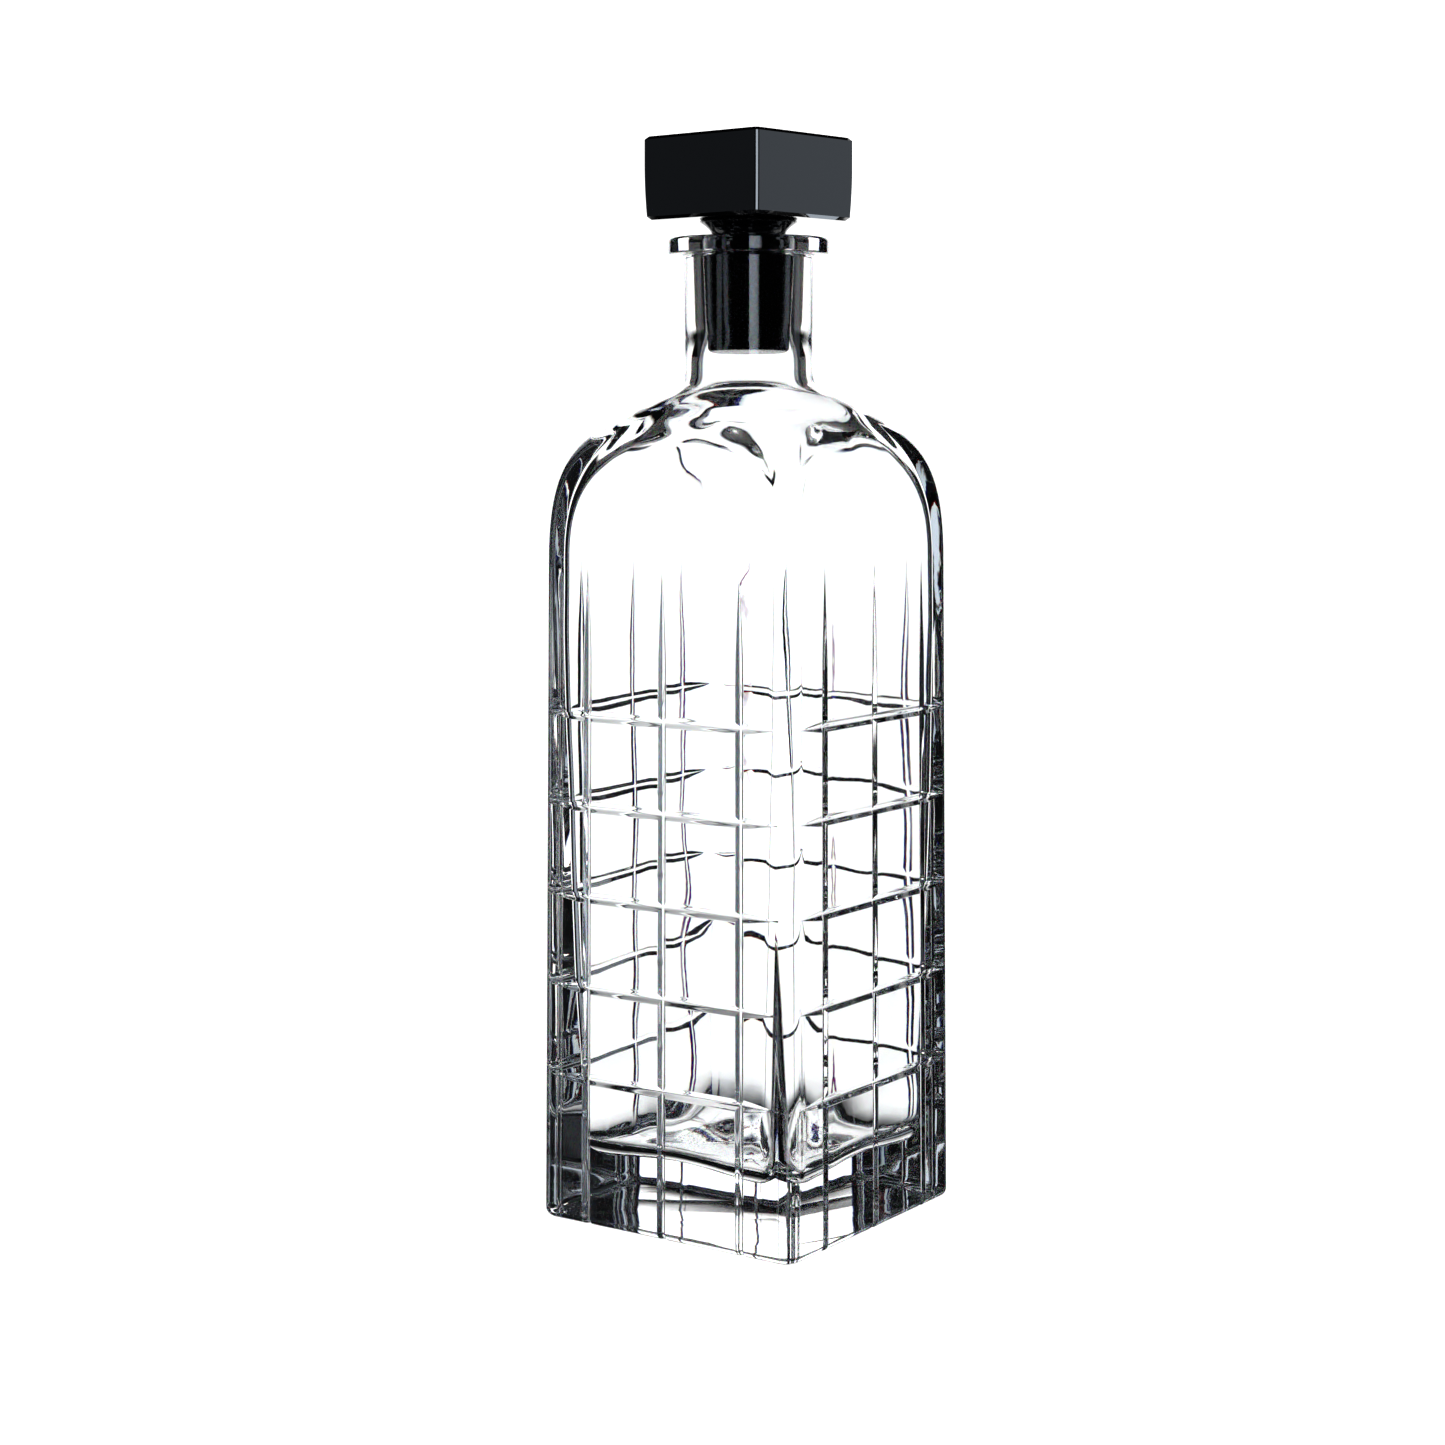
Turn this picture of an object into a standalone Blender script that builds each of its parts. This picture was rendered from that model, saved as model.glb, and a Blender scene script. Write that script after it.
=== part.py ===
"""Cut crystal decanter: a square bottle with a round neck and a flat lip, and a square-headed glass stopper.

Metres, +Z up. The origin is the middle of the base, on the surface that the decanter stands on.
The bottle's four faces look along +X, -X, +Y and -Y.
"""

import math

import bmesh
import bpy
import numpy as np
from mathutils import Matrix, Vector

MM = 0.001

# Bottle, outside
HALF_WIDTH_FOOT = 42.05 * MM  # middle of a face to the axis, at the foot
HALF_WIDTH_TOP = 41.5 * MM  # the same where the shoulder begins
CORNER_RADIUS = 5.0 * MM  # upright corners
FOOT_ROUND = 2.5 * MM  # round along the foot's edge
SHOULDER_START = 182 * MM
FOOT_OF_NECK = 229 * MM  # the shoulder's run-out leans on the neck's side from here up
NECK_START = 237 * MM  # above this height the neck is straight
NECK_RADIUS = 18.2 * MM
LIP_BOTTOM = 267.8 * MM
LIP_TOP = 272.4 * MM
LIP_RADIUS = 22.7 * MM
LIP_ROUND = 1.2 * MM

# Bottle, inside
WALL_SHOULDER = 4.6 * MM
WALL_FOOT = 9.4 * MM
WALL_GROWS_FROM = 165 * MM  # below this height the wall thickens towards the foot
WALL_GROWS_TO = 35 * MM
INNER_CORNER_RADIUS = 4.0 * MM
FLOOR_MIDDLE = 25.5 * MM  # height of the raised middle of the inside floor
FLOOR_AT_FACE = 17.5 * MM  # height of the floor beside the walls
FLOOR_ROUND = 8.0 * MM  # round where the floor meets the walls
THROAT_RADIUS = 13.9 * MM  # the bore below the ground joint
THROAT_FOOT = 227.2 * MM
THROAT_END = 236 * MM  # from here up the throat is straight
THROAT_BEND = (26.9 * MM, 220.4 * MM)  # radius and height where the inside turns up into the throat
THROAT_PULL = 5.2 * MM
CORNER_RISE = 23.0 * MM  # these three shape the inside over the corners, where the glass is thicker
CORNER_PULL = 15.5 * MM
CORNER_FALL = 9.5 * MM

# Ground joint between bottle and stopper: a cone whose radius grows 1 mm in 25 mm
JOINT_TAPER = 1 / 25
JOINT_BOTTOM = 241.0 * MM
JOINT_TOP = 267.0 * MM
SEAT_BOTTOM = 250.0 * MM  # the bore is ground down to here, and widens below it
PLUG_BOTTOM_RADIUS = 11.6 * MM
JOINT_GAP = 0.3 * MM

# Wheel cuts: upright and level V grooves with a rounded bottom, which cross on each face
CUT_PITCH = 25.5 * MM  # between the three upright cuts of a face
UPRIGHT_CUT_WIDTH = 2.6 * MM
UPRIGHT_CUT_DEPTH = 0.88 * MM
UPRIGHT_CUT_END = 182 * MM  # where an upright cut has run out
UPRIGHT_CUT_FULL = 156 * MM  # where it has its full width
LEVEL_CUT_WIDTH = 3.0 * MM
LEVEL_CUT_DEPTH = 0.98 * MM
LEVEL_CUT_FIRST = 40.2 * MM
LEVEL_CUT_PITCH = 24.9 * MM
LEVEL_CUTS = 5
LEVEL_CUT_HALF = 37.6 * MM  # from a face's middle to the end of a level cut
LEVEL_CUT_FULL = 26.5 * MM  # from a face's middle to where it starts to run out
CUT_TIP = 0.04  # a cut's size at its very end, as a share of its full size
CUT_ROUND = 0.81  # where a cut's straight flanks end and its bottom is rounded, as a share of its depth
CUT_FLANK = 0.79  # how much of its half width a flank crosses over the cut's whole depth
CUT_BEYOND = 1.2  # a cutter reaches this far out of the glass, as a share of the cut's depth

# Stopper
HEAD_WIDTH = 42.4 * MM
HEAD_BOTTOM = 277.5 * MM
HEAD_TOP = 301.0 * MM
HEAD_BEVEL = 0.9 * MM
FLARE_RADIUS = 13.8 * MM  # where the stem meets the head
WAIST_RADIUS = 10.7 * MM
WAIST_HEIGHT = 273.2 * MM
PLUG_ROUND = 1.6 * MM  # round at the plug's lower edge
STOPPER_TURN = math.radians(-6.4)  # the head stands slightly out of line with the bottle

# Tessellation
ARC_STEPS = 8  # per corner
FACE_STEPS = 4  # per face
FACE_FAN = math.radians(15)  # half the angle that a face covers once the section is a circle
CURVE_STEPS = 9
FINE_STEPS = 60  # along the corner profiles, which are read at the heights of the face profiles
TURN_STEPS = 48

ROOT2 = math.sqrt(2)


def collection(name):
    made = bpy.data.collections.new(name)
    bpy.context.scene.collection.children.link(made)
    return made


def material(name, color, roughness, transmission=0.0, ior=1.5):
    made = bpy.data.materials.new(name)
    made.use_nodes = True
    shader = made.node_tree.nodes["Principled BSDF"]
    shader.inputs["Base Color"].default_value = (*color, 1)
    shader.inputs["Roughness"].default_value = roughness
    shader.inputs["Metallic"].default_value = 0
    shader.inputs["Transmission Weight"].default_value = transmission
    shader.inputs["IOR"].default_value = ior
    return made


def new_object(name, mesh, into):
    made = bpy.data.objects.new(name, mesh)
    into.objects.link(made)
    return made


def loft(bm, rings):
    """Adds to bm the closed solid through these rings of points, with a flat cap at both ends."""
    made = [[bm.verts.new(point) for point in ring] for ring in rings]
    count = len(made[0])
    for low, high in zip(made, made[1:]):
        for i in range(count):
            j = (i + 1) % count
            bm.faces.new((low[i], low[j], high[j], high[i]))
    bm.faces.new(made[0][::-1])
    bm.faces.new(made[-1])


def bezier(*controls, steps=CURVE_STEPS):
    """Points (radius, height) along one Bezier stretch of a profile, of any degree."""
    last = len(controls) - 1
    points = []
    for i in range(steps + 1):
        t = i / steps
        weights = [math.comb(last, k) * (1 - t) ** (last - k) * t**k for k in range(last + 1)]
        points.append(tuple(sum(w * p[axis] for w, p in zip(weights, controls)) for axis in (0, 1)))
    return points


def round_edge(centre, radius, start, end, steps=3):
    """Points (radius, height) along an arc of a profile, between two angles in degrees."""
    return [
        (
            centre[0] + radius * math.cos(math.radians(start + (end - start) * i / steps)),
            centre[1] + radius * math.sin(math.radians(start + (end - start) * i / steps)),
        )
        for i in range(steps + 1)
    ]


def shoulder():
    """Profiles over a face's middle and over a corner. Both bulge, then run out into the neck.

    The run-out's last three controls lie on the neck's side, so that it bends into it gradually.
    """
    corner_start = corner_reach(HALF_WIDTH_TOP, CORNER_RADIUS)
    face_bend = (30.0 * MM, 224.5 * MM)
    corner_bend = (31.0 * MM, 224.5 * MM)
    face = bezier(
        (HALF_WIDTH_TOP, SHOULDER_START),
        (HALF_WIDTH_TOP, 204 * MM),
        (37.0 * MM, 218.5 * MM),
        face_bend,
    )
    corner = bezier(
        (corner_start, SHOULDER_START),
        (corner_start, 211 * MM),
        (48.5 * MM, 216.5 * MM),
        corner_bend,
        steps=FINE_STEPS,
    )
    heights = (FOOT_OF_NECK, FOOT_OF_NECK + 2.5 * MM, NECK_START)
    run_out = [(25.3 * MM, 228.3 * MM)] + [(NECK_RADIUS, height) for height in heights]
    face += bezier(face_bend, *run_out)[1:]
    corner += bezier(corner_bend, *run_out, steps=FINE_STEPS)[1:]
    return face, corner


def inner_shoulder(face_start):
    """The same two profiles on the inside."""
    corner_start = corner_reach(face_start, INNER_CORNER_RADIUS)
    bend_radius, bend_height = THROAT_BEND
    face = bezier(
        (face_start, SHOULDER_START),
        (face_start, SHOULDER_START + 20 * MM),
        (bend_radius + 6.4 * MM, bend_height - 5.3 * MM),
        (bend_radius, bend_height),
    )
    corner_bend = (bend_radius + 1.0 * MM, bend_height)
    corner = bezier(
        (corner_start, SHOULDER_START),
        (corner_start, SHOULDER_START + CORNER_RISE),
        (bend_radius + CORNER_PULL, bend_height - CORNER_FALL),
        corner_bend,
        steps=FINE_STEPS,
    )
    heights = (THROAT_FOOT, THROAT_FOOT + 3 * MM, THROAT_END)
    run_out = [(bend_radius - THROAT_PULL, bend_height + THROAT_PULL * 0.83)]
    run_out += [(THROAT_RADIUS, height) for height in heights]
    face += bezier((bend_radius, bend_height), *run_out)[1:]
    corner += bezier(corner_bend, *run_out, steps=FINE_STEPS)[1:]
    return face, corner


def corner_reach(half_width, radius):
    """Distance from the axis to the corner of a rounded square."""
    return ROOT2 * half_width - (ROOT2 - 1) * radius


def corner_radius(half_width, reach):
    """Corner radius of the rounded square with this corner distance: a circle once it is the half width."""
    return min((ROOT2 * half_width - reach) / (ROOT2 - 1), half_width)


def section(half_width, radius, height):
    """One ring of a rounded square. As it nears a circle its sides bow and its points spread out."""
    flat = half_width - radius
    fan = FACE_FAN * min(1.0, max(0.0, (radius / half_width - 0.2) / 0.8))
    quarter = []
    for i in range(FACE_STEPS):
        t = 2 * i / FACE_STEPS - 1
        quarter.append((flat + radius * math.cos(t * fan), flat * t + radius * math.sin(t * fan)))
    for i in range(ARC_STEPS):
        angle = fan + (math.pi / 2 - 2 * fan) * i / ARC_STEPS
        quarter.append((flat + radius * math.cos(angle), flat + radius * math.sin(angle)))
    ring = []
    for turn in range(4):
        c, s = round(math.cos(turn * math.pi / 2)), round(math.sin(turn * math.pi / 2))
        ring += [Vector((x * c - y * s, x * s + y * c, height)) for x, y in quarter]
    return ring


def shoulder_rings(face, corner):
    """Rings through both shoulder profiles, at the heights of the face profile."""
    corner_heights = [z for _, z in corner]
    corner_reaches = [r for r, _ in corner]
    rings = []
    for half_width, height in face:
        reach = max(float(np.interp(height, corner_heights, corner_reaches)), half_width)
        rings.append(section(half_width, corner_radius(half_width, reach), height))
    return rings


def outer_half_width(height):
    share = height / SHOULDER_START
    return HALF_WIDTH_FOOT + (HALF_WIDTH_TOP - HALF_WIDTH_FOOT) * share


def wall(height):
    """Wall thickness of the body in the middle of a face."""
    share = (WALL_GROWS_FROM - height) / (WALL_GROWS_FROM - WALL_GROWS_TO)
    return WALL_SHOULDER + (WALL_FOOT - WALL_SHOULDER) * min(1.0, max(0.0, share)) ** 1.3


def bore_radius(height):
    return PLUG_BOTTOM_RADIUS + JOINT_GAP + (height - JOINT_BOTTOM) * JOINT_TAPER


def outside_rings():
    """From the foot up to the top of the lip."""
    rings = []
    for reach, height in round_edge((0, FOOT_ROUND), FOOT_ROUND, -90, 0):
        half_width = HALF_WIDTH_FOOT - FOOT_ROUND + reach
        rings.append(section(half_width, CORNER_RADIUS - FOOT_ROUND + reach, height))
    rings += shoulder_rings(*shoulder())
    lip = [(NECK_RADIUS, LIP_BOTTOM), (LIP_RADIUS, LIP_BOTTOM)]
    lip += round_edge((LIP_RADIUS - LIP_ROUND, LIP_TOP - LIP_ROUND), LIP_ROUND, 0, 90)
    return rings + [section(radius, radius, height) for radius, height in lip]


def inside_rings():
    """From the mouth down to the floor."""
    mouth = [
        (bore_radius(LIP_TOP) + 0.8 * MM, LIP_TOP),
        (bore_radius(LIP_TOP), LIP_TOP - 0.8 * MM),
    ]
    mouth += bezier(
        (bore_radius(SEAT_BOTTOM), SEAT_BOTTOM),
        (bore_radius(SEAT_BOTTOM - 4 * MM), SEAT_BOTTOM - 4 * MM),
        (THROAT_RADIUS, THROAT_END + 7 * MM),
        (THROAT_RADIUS, THROAT_END + 1 * MM),
        steps=5,
    )
    rings = [section(radius, radius, height) for radius, height in mouth]
    rings += shoulder_rings(*inner_shoulder(HALF_WIDTH_TOP - WALL_SHOULDER))[::-1]
    floor_edge = FLOOR_AT_FACE + FLOOR_ROUND
    for height in (165 * MM, 140 * MM, 115 * MM, 90 * MM, 65 * MM, 42 * MM):
        rings.append(section(outer_half_width(height) - wall(height), INNER_CORNER_RADIUS, height))
    return rings + floor_rings(outer_half_width(floor_edge) - wall(floor_edge))


def dome(x, y, half_width):
    """How far the floor rises at this place above its height beside the walls."""
    away = min(1.0, math.hypot(x, y) / (1.15 * half_width))
    return (FLOOR_MIDDLE - FLOOR_AT_FACE) * (1 - away**2) ** 2


def floor_rings(half_width):
    """The round between wall and floor, then the floor, which rises towards its middle."""
    low = FLOOR_AT_FACE + FLOOR_ROUND
    rings = []
    for reach, height in round_edge((half_width - FLOOR_ROUND, low), FLOOR_ROUND, 0, -90, 4):
        radius = max(INNER_CORNER_RADIUS - (half_width - reach), 2.0 * MM)
        rings.append(section(reach, radius, height))
    for share in (0.7, 0.4, 0.14):
        reach = (half_width - FLOOR_ROUND) * share
        rings.append(section(reach, (0.12 + 0.8 * (1 - share)) * reach, FLOOR_AT_FACE))
    for ring in rings:
        for point in ring:
            point.z += dome(point.x, point.y, half_width)
    return rings


def cut_solid(bm, path, upright, turn):
    """Adds one cutter. path holds (across, out, height, size), on the +X face before the turn."""
    mouth = 1 + CUT_FLANK * CUT_BEYOND
    flank_low = 1 - CUT_FLANK * CUT_ROUND
    shares = (
        (-1, 0),
        (-CUT_ROUND, flank_low),
        (CUT_BEYOND, mouth),
        (CUT_BEYOND, -mouth),
        (-CUT_ROUND, -flank_low),
    )
    spin = Matrix.Rotation(turn, 3, "Z")
    rings = []
    for across, out, height, size in path:
        half = (UPRIGHT_CUT_WIDTH if upright else LEVEL_CUT_WIDTH) / 2 * size
        depth = (UPRIGHT_CUT_DEPTH if upright else LEVEL_CUT_DEPTH) * size
        ring = []
        for deep, side in shares:
            y = across + (side * half if upright else 0)
            z = height + (0 if upright else side * half)
            ring.append(spin @ Vector((out + deep * depth, y, z)))
        rings.append(ring)
    loft(bm, rings)


def cutter(name, paths, upright, into):
    """All the cuts of one direction, on the four faces."""
    bm = bmesh.new()
    for quarter in range(4):
        for path in paths:
            cut_solid(bm, path, upright, quarter * math.pi / 2)
    bmesh.ops.recalc_face_normals(bm, faces=bm.faces)
    mesh = bpy.data.meshes.new(name)
    bm.to_mesh(mesh)
    bm.free()
    made = new_object(name, mesh, into)
    made.hide_render = True
    made.display_type = "WIRE"
    return made


def upright_paths():
    paths = []
    for k in (-1, 0, 1):
        across = k * CUT_PITCH
        half_way = (UPRIGHT_CUT_FULL + UPRIGHT_CUT_END) / 2
        stations = ((-3 * MM, 1), (UPRIGHT_CUT_FULL, 1), (half_way, 0.66), (UPRIGHT_CUT_END, CUT_TIP))
        paths.append([(across, outer_half_width(z), z, size) for z, size in stations])
    return paths


def level_paths():
    paths = []
    for k in range(LEVEL_CUTS):
        z = LEVEL_CUT_FIRST + k * LEVEL_CUT_PITCH
        out = outer_half_width(z)
        half = [(LEVEL_CUT_FULL, 1), (LEVEL_CUT_HALF, CUT_TIP)]
        stations = [(-across, size) for across, size in half[::-1]] + half
        paths.append([(across, out, z, size) for across, size in stations])
    return paths


def cut_with(obj, tool, operation="DIFFERENCE"):
    modifier = obj.modifiers.new(tool.name, "BOOLEAN")
    modifier.operation = operation
    modifier.solver = "EXACT"
    modifier.object = tool


def build_bottle(parts, cutters):
    bm = bmesh.new()
    loft(bm, outside_rings() + inside_rings())
    bmesh.ops.recalc_face_normals(bm, faces=bm.faces)
    mesh = bpy.data.meshes.new("bottle")
    bm.to_mesh(mesh)
    bm.free()
    mesh.shade_smooth()
    mesh.set_sharp_from_angle(angle=math.radians(30))
    mesh.materials.append(material("clear_crystal", (1, 1, 1), 0.0, 1.0, 1.545))
    bottle = new_object("bottle", mesh, parts)
    cut_with(bottle, cutter("upright_cuts", upright_paths(), True, cutters))
    cut_with(bottle, cutter("level_cuts", level_paths(), False, cutters))
    return bottle


def stem_profile():
    """The stopper below its head, from the axis inside the head to the axis under the plug."""
    inside_head = HEAD_BOTTOM + 6 * MM
    plug_top_radius = PLUG_BOTTOM_RADIUS + (JOINT_TOP - JOINT_BOTTOM) * JOINT_TAPER
    points = [(0, inside_head), (FLARE_RADIUS * 0.8, inside_head), (FLARE_RADIUS, HEAD_BOTTOM)]
    flare = bezier(
        (FLARE_RADIUS, HEAD_BOTTOM),
        (WAIST_RADIUS + 1.0 * MM, HEAD_BOTTOM - 1.4 * MM),
        (WAIST_RADIUS, WAIST_HEIGHT + 1.2 * MM),
        (WAIST_RADIUS, WAIST_HEIGHT),
        steps=5,
    )
    shoulder_curve = bezier(
        (WAIST_RADIUS, JOINT_TOP + 3.2 * MM),
        (WAIST_RADIUS, JOINT_TOP + 1.6 * MM),
        (plug_top_radius, JOINT_TOP + 1.4 * MM),
        (plug_top_radius, JOINT_TOP),
        steps=4,
    )
    slope = math.degrees(math.atan(JOINT_TAPER))
    centre = (PLUG_BOTTOM_RADIUS - PLUG_ROUND, JOINT_BOTTOM + PLUG_ROUND)
    foot = round_edge(centre, PLUG_ROUND, -slope, -90)
    return points[:-1] + flare + shoulder_curve + foot + [(0, JOINT_BOTTOM)]


def build_stem(into):
    profile = stem_profile()
    mesh = bpy.data.meshes.new("stem")
    mesh.from_pydata([(r, 0, z) for r, z in profile], [(i, i + 1) for i in range(len(profile) - 1)], [])
    stem = new_object("stem", mesh, into)
    stem.hide_render = True
    stem.display_type = "WIRE"
    screw = stem.modifiers.new("turn", "SCREW")
    screw.steps = screw.render_steps = TURN_STEPS
    screw.use_merge_vertices = True
    screw.merge_threshold = 0.00001
    return stem


def build_stopper(parts, cutters):
    bpy.ops.mesh.primitive_cube_add(size=1)
    head = bpy.context.object
    head.name = "stopper"
    head.data.name = "stopper"
    middle = (HEAD_BOTTOM + HEAD_TOP) / 2
    shape = Matrix.Diagonal((HEAD_WIDTH, HEAD_WIDTH, HEAD_TOP - HEAD_BOTTOM, 1))
    head.data.transform(Matrix.Translation((0, 0, middle)) @ shape)
    for other in head.users_collection:
        other.objects.unlink(head)
    parts.objects.link(head)
    head.data.materials.append(material("black_glass", (0.006, 0.006, 0.008), 0.03, 0.0, 1.52))
    bevel = head.modifiers.new("bevel", "BEVEL")
    bevel.width = HEAD_BEVEL
    bevel.segments = 2
    stem = build_stem(cutters)
    stem.parent = head
    cut_with(head, stem, "UNION")
    head.rotation_euler.z = STOPPER_TURN
    return head


for old in list(bpy.data.objects):
    bpy.data.objects.remove(old)
parts_collection = collection("cut_crystal_decanter")
cutter_collection = collection("cutters")
build_bottle(parts_collection, cutter_collection)
build_stopper(parts_collection, cutter_collection)
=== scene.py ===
"""Looks of the cut crystal decanter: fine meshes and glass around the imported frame, a studio, a camera."""

import math

import bmesh
import bpy
import numpy as np
from mathutils import Matrix, Vector, noise


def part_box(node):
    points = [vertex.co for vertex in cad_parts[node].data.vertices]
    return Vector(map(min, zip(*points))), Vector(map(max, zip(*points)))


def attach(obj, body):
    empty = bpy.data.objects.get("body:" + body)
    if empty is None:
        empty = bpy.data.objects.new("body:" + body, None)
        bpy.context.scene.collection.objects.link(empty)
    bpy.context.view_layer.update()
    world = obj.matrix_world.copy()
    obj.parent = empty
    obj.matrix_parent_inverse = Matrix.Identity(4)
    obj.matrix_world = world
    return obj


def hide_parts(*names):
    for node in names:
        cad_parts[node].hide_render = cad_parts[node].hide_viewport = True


MM = 0.001
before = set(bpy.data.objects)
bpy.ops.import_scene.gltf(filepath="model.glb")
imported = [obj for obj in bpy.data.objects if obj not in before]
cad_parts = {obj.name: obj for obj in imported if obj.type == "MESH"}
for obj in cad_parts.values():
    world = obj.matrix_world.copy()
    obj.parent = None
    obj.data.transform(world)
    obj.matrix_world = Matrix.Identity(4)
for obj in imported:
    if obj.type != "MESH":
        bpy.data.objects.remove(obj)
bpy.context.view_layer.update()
bottle_low, bottle_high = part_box("bottle")
stopper_low, stopper_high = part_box("stopper")

# Bottle, outside
HALF_WIDTH_FOOT = bottle_high.x
HALF_WIDTH_TOP = HALF_WIDTH_FOOT - 0.55 * MM
CORNER_RADIUS = 5.0 * MM
FOOT_ROUND = 2.5 * MM
SHOULDER_START = 182 * MM
NECK_START = 237 * MM  # above this height the neck is straight
FOOT_OF_NECK = 229.0 * MM  # the shoulder's run-out leans on the neck's side from here up
NECK_RADIUS = 18.2 * MM
LIP_BOTTOM = bottle_high.z - 4.6 * MM
LIP_TOP = bottle_high.z
LIP_RADIUS = 22.7 * MM
FACE_FAN = math.radians(15)
FINE_STEPS = 400  # along the corner profiles, which are read at the heights of the face profiles

# Bottle, inside
WALL_SHOULDER = 4.6 * MM
WALL_FOOT = 9.4 * MM
WALL_GROWS_FROM = 165 * MM  # below this height the wall thickens towards the foot
WALL_GROWS_TO = 35 * MM
INNER_CORNER_RADIUS = 4.0 * MM
FLOOR_MIDDLE = 25.5 * MM
FLOOR_AT_FACE = 17.5 * MM
FLOOR_ROUND = 8.0 * MM

# Ground joint
JOINT_TAPER = 1 / 25
JOINT_BOTTOM = stopper_low.z
JOINT_TOP = JOINT_BOTTOM + 26 * MM
PLUG_BOTTOM_RADIUS = 11.6 * MM
JOINT_GAP = 0.3 * MM
SEAT_BOTTOM = 250 * MM  # the bore is ground down to here
THROAT_RADIUS = 13.9 * MM  # the bore below the ground joint
THROAT_FOOT = 227.2 * MM
THROAT_END = 236.0 * MM
THROAT_BEND = (26.9 * MM, 220.4 * MM)  # radius and height where the inside turns up into the throat
THROAT_PULL = 5.2 * MM
CORNER_RISE = 23.0 * MM
CORNER_PULL = 15.5 * MM
CORNER_FALL = 9.5 * MM
SHOULDER_FOLDS = 1.4  # in mm
RING_DEPTH = 1.5  # in mm: the glass gathers in an uneven ring round the inside of the shoulder
RING_HEIGHT = 218 * MM
RING_WIDTH = 3.2 * MM

# Stopper
HEAD_BOTTOM = stopper_high.z - 23.5 * MM
HEAD_TOP = stopper_high.z
HEAD_HALF = 21.2 * MM
HEAD_BEVEL = 0.9 * MM
HEAD_BOW = 0.3 * MM  # the head's sides draw in by this much towards its underside
FLARE_RADIUS = 13.8 * MM
WAIST_RADIUS = 10.4 * MM
WAIST_HEIGHT = HEAD_BOTTOM - 4.6 * MM
BEAD_RADIUS = 11.1 * MM
PLUG_ROUND = 1.6 * MM
STOPPER_TURN = math.radians(-6.4)

# Wheel cuts
CUT_PITCH = 25.5 * MM
UPRIGHT_HALF_WIDTH = 1.32 * MM
LEVEL_HALF_WIDTH = 1.5 * MM
CUT_DEPTH = 0.95 * MM
UPRIGHT_CUT_END = 181 * MM  # where an upright cut has run out
UPRIGHT_CUT_FULL = 156 * MM  # where it has its full size
LEVEL_CUT_FIRST = 40.2 * MM
LEVEL_CUT_PITCH = 24.9 * MM
LEVEL_CUTS = 5
LEVEL_CUT_HALF = 37.6 * MM  # from a face's middle to the end of a level cut
LEVEL_CUT_FULL = 27.5 * MM  # from a face's middle to where it starts to run out
CUT_TIP = 0.05  # a cut's size at its very end, as a share of its full size
CUT_LINES_SPREAD = 12 * MM  # over this height above the cuts their lines widen again

PLAIN = (0.0, 0.0)  # the offset and depth of a line that is in no cut

# Half of a cut's profile, from its middle to just past its lip: (distance, depth) as shares
CUT_PROFILE = (
    (0.0, 1.0),
    (0.12, 0.982),
    (0.24, 0.92),
    (0.36, 0.81),
    (0.65, 0.45),
    (0.93, 0.088),
    (1.02, 0.012),
    (1.12, 0.0),
)

# Mesh
CORNER_STEPS = 14  # along each rounded corner outside
INNER_FACE_STEPS = 22
INNER_CORNER_STEPS = 12
STEM_STEPS = 128
BOTTLE_SHARP = math.radians(32)  # edges that turn by more than this stay sharp
STOPPER_SHARP = math.radians(28)

# Crystal
GLASS_IOR = 1.545
COLOR_SPLIT = 0.12  # share of the first refraction that is split into colours
SPLIT_GLASSES = (  # colour and IOR: an even mix of the three is white
    ((3, 0, 0), 1.536),
    ((0, 3, 0), GLASS_IOR),
    ((0, 0, 3), 1.558),
)
BORE_ENDS = (15.0 * MM, 14.2 * MM)  # between these radii the ground surface begins
SEAT_ENDS = (268.5 * MM, 267.2 * MM)  # between these heights the ground seat begins
WEAR_ENDS = (1.2 * MM, 0.2 * MM)  # between these heights the foot's worn ring begins

# Black glass
BLACK_IOR = 1.6
PLUG_ENDS = (269.0 * MM, 267.5 * MM)  # between these heights the ground plug begins

# Studio. Angles are in degrees from the camera's line of sight.
WALL_EDGE = 30
WALL_SOFT = 5
WALL_STRENGTH = 1.3
WALL_TOP = 26
WALL_TOP_FADES = 18
WALL_BOTTOM = -52
WALL_BOTTOM_FADES = -8
TABLE_PLACE = (0, 34, -40, 16)  # side, half width, rise, half height
TABLE_STRENGTH = 0.18
DARK = 0.004  # brightness of the black card
LAMP_COLOR = (0.8, 0.89, 1.0)
# Bluish lamps: strength, then (side, half width, rise, half height)
LAMPS = (
    (0.55, (84, 7, 5, 45)),
    (0.025, (57, 10, 5, 45)),
    (0.9, (-126, 5, 15, 40)),
    (0.4, (-80, 5, 10, 40)),
    (0.7, (172, 6, 10, 25)),
    (0.3, (49, 6, -41, 9)),
)
# Lamps that only light what is in front of the crystal: the stopper's head and the bottle's own shine
FRONT_LAMPS = (
    (0.1, (-97, 12, 10, 40)),
    (3.2, (172, 9, 10, 25)),
    (2.6, (49, 6, -41, 9)),
)
FLOOR_RADIUS = 30
FLOOR_DROP = 0.2 * MM
BOUNCES = 32
SHINE_BOUNCES = 16

# Camera
CAMERA_AZIMUTH = math.radians(34.7)
CAMERA_DISTANCE = 763 * MM
CAMERA_HEIGHT = 221 * MM
OBJECT_OFFSET = 7.35 * MM  # the object's axis stands this far to the right of the lens's axis
LENS = 67.4
LENS_SHIFT = -0.2087

ROOT2 = math.sqrt(2)


def bezier(*controls, steps):
    """Points (radius, height) along one Bezier stretch of any degree."""
    t = np.linspace(0, 1, steps + 1)[:, None]
    last = len(controls) - 1
    shares = [math.comb(last, k) * (1 - t) ** (last - k) * t**k for k in range(last + 1)]
    curve = sum(share * np.array(p) for share, p in zip(shares, controls))
    return [tuple(p) for p in curve]


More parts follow.
